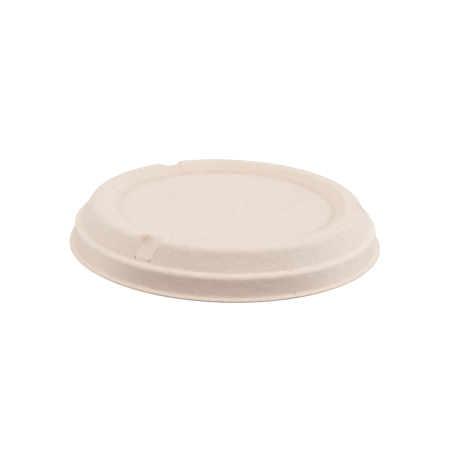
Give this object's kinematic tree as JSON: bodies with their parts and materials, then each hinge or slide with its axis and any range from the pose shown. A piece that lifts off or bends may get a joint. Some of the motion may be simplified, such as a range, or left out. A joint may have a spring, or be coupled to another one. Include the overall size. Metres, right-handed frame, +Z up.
{
  "type": "bowl lid",
  "caption": "Round moulded-fibre lid for a takeaway bowl, with a sunken panel in a raised ring, de-nesting notches and a skirt that grips the bowl's rim.",
  "frame": {"origin": "centre of the flange's flat underside, on the surface that the lid stands on", "axes": "+Z up, out of the sunken panel; +X runs 1.5 degrees from one of the three notches; the notch between -X and -Y is the one at the picture's front left"},
  "size_m": [0.186, 0.186, 0.0256],
  "materials": {
    "moulded_pulp": "uncoated moulded sugarcane pulp, pale warm beige, matt, with fine grain and a few brown fibres"
  },
  "bodies": {
    "root": {"lid": "moulded_pulp"}
  },
  "joints": []
}
